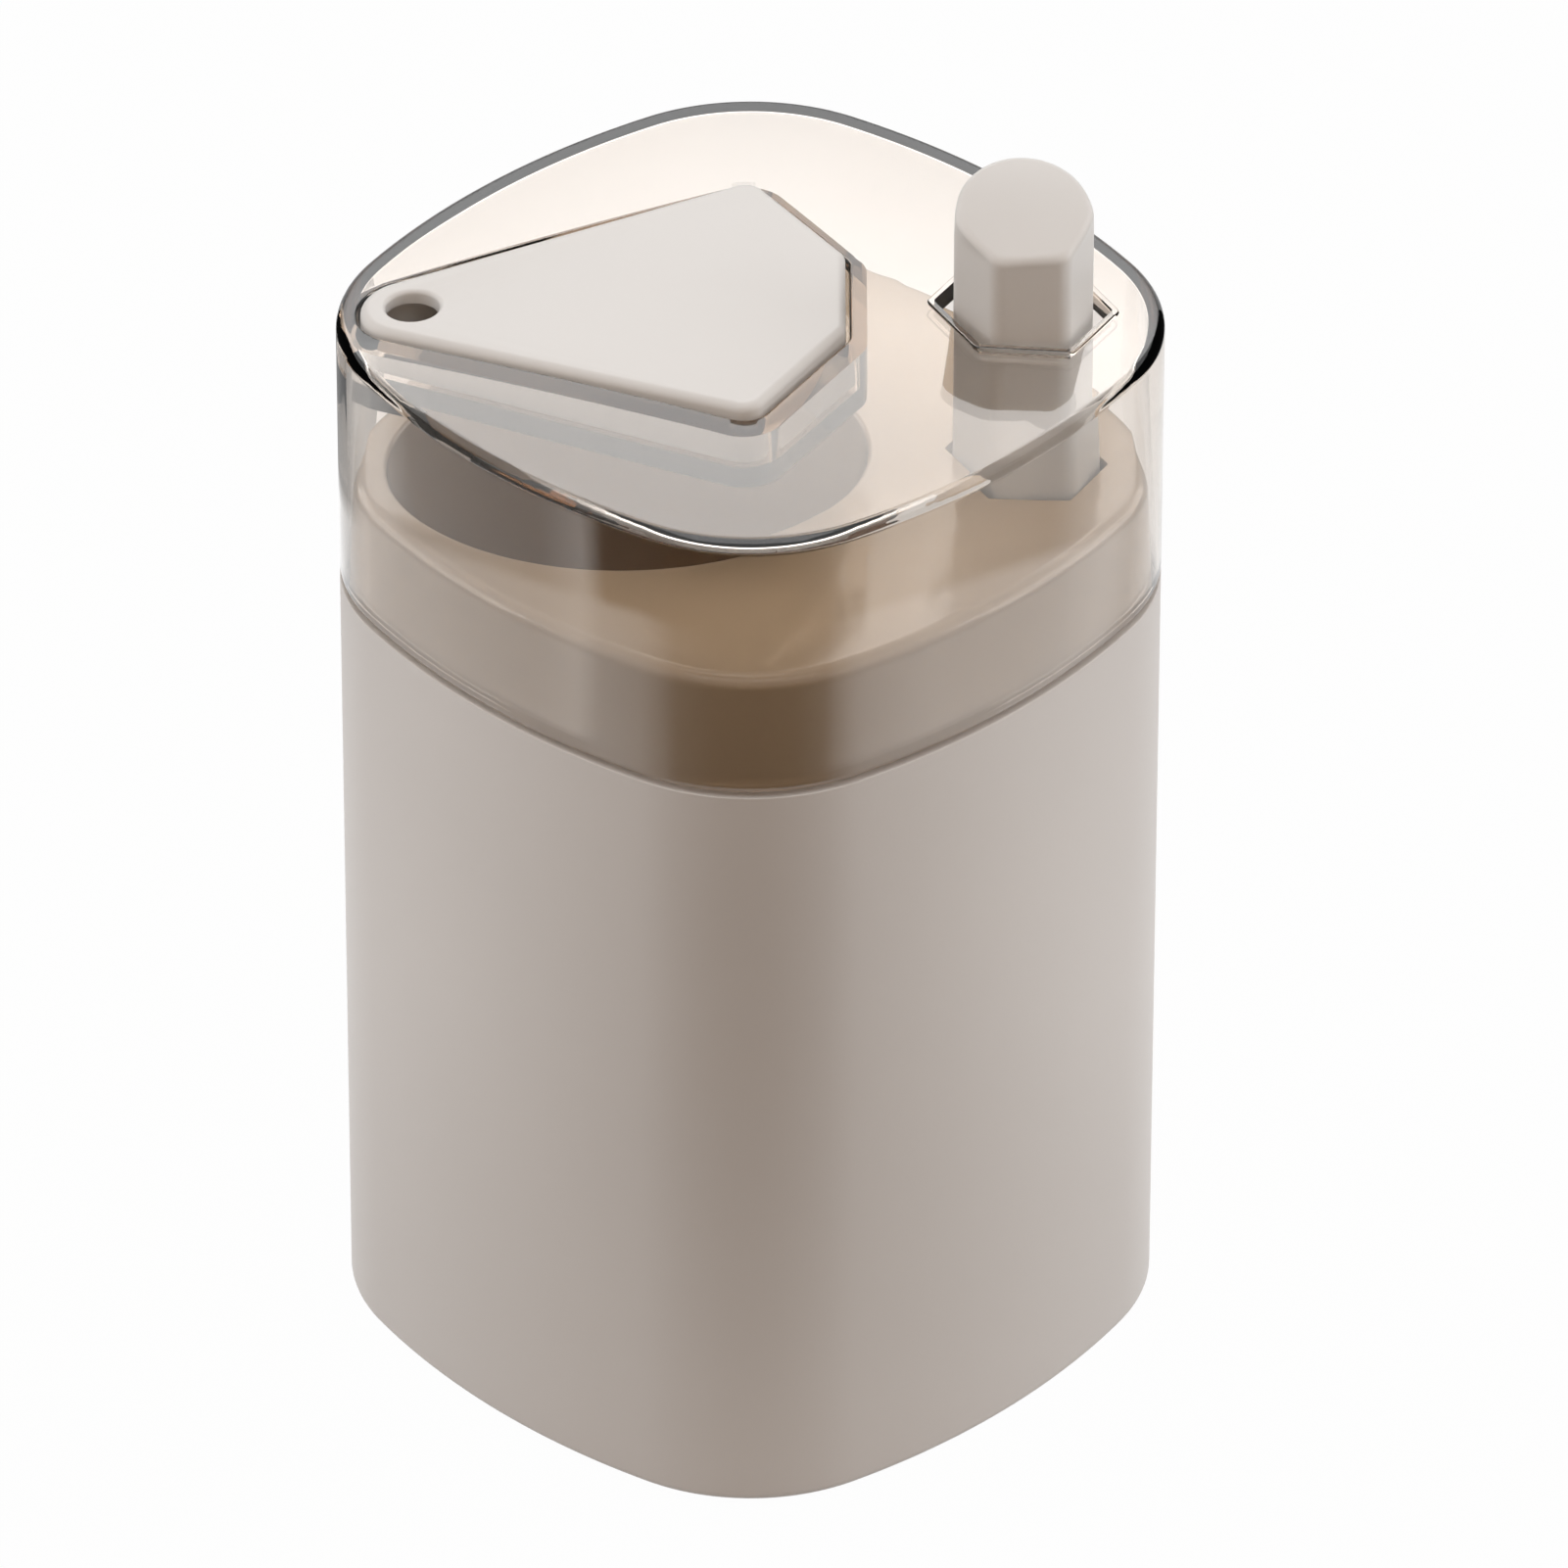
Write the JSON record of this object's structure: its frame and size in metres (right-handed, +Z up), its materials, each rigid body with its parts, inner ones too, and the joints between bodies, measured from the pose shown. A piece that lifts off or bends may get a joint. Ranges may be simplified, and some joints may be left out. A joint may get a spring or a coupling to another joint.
{
  "type": "pill crusher",
  "caption": "Rounded-square pill crusher: matte storage cup, tan mortar tray, clear amber-tinted lid holding a kite-shaped pill cutter, and a hexagonal pestle standing through the lid.",
  "frame": {"origin": "middle of the foot ring's underside, on the cup's axis", "axes": "+Z up; the flat sides face X and Y; the tool line with cutter, mortar and pestle runs along the X=Y diagonal, pestle towards +X+Y"},
  "size_m": [0.065, 0.065, 0.1152],
  "materials": {
    "white_matte": "fine matte moulded warm white",
    "tray_gloss": "glossy moulded tan",
    "clear_amber": "clear with a faint amber tint, polished",
    "white_satin": "satin moulded white",
    "blade_steel": "ground stainless steel",
    "screw_steel": "plain steel"
  },
  "bodies": {
    "base": {"storage_cup": "white_matte"},
    "tray": {"mortar_tray": "tray_gloss"},
    "lid": {"clear_lid": "clear_amber"},
    "cutter": {"cutter_cover": "white_satin", "blade_holder": "white_matte", "cutter_blade": "blade_steel", "holder_screw_1": "screw_steel", "holder_screw_2": "screw_steel"},
    "pestle": {"pestle_handle": "white_satin", "pestle_head": "white_satin"}
  },
  "joints": [
    {"name": "tray_lift", "type": "slide", "parent": "base", "child": "tray", "axis": [0, 0, 1], "range_m": [0, 0.045]},
    {"name": "lid_lift", "type": "slide", "parent": "tray", "child": "lid", "axis": [0, 0, 1], "range_m": [0, 0.045]},
    {"name": "cutter_lift", "type": "slide", "parent": "lid", "child": "cutter", "axis": [0, 0, 1], "range_m": [0, 0.012]},
    {"name": "pestle_lift", "type": "slide", "parent": "tray", "child": "pestle", "axis": [0, 0, 1], "range_m": [0, 0.07]}
  ]
}
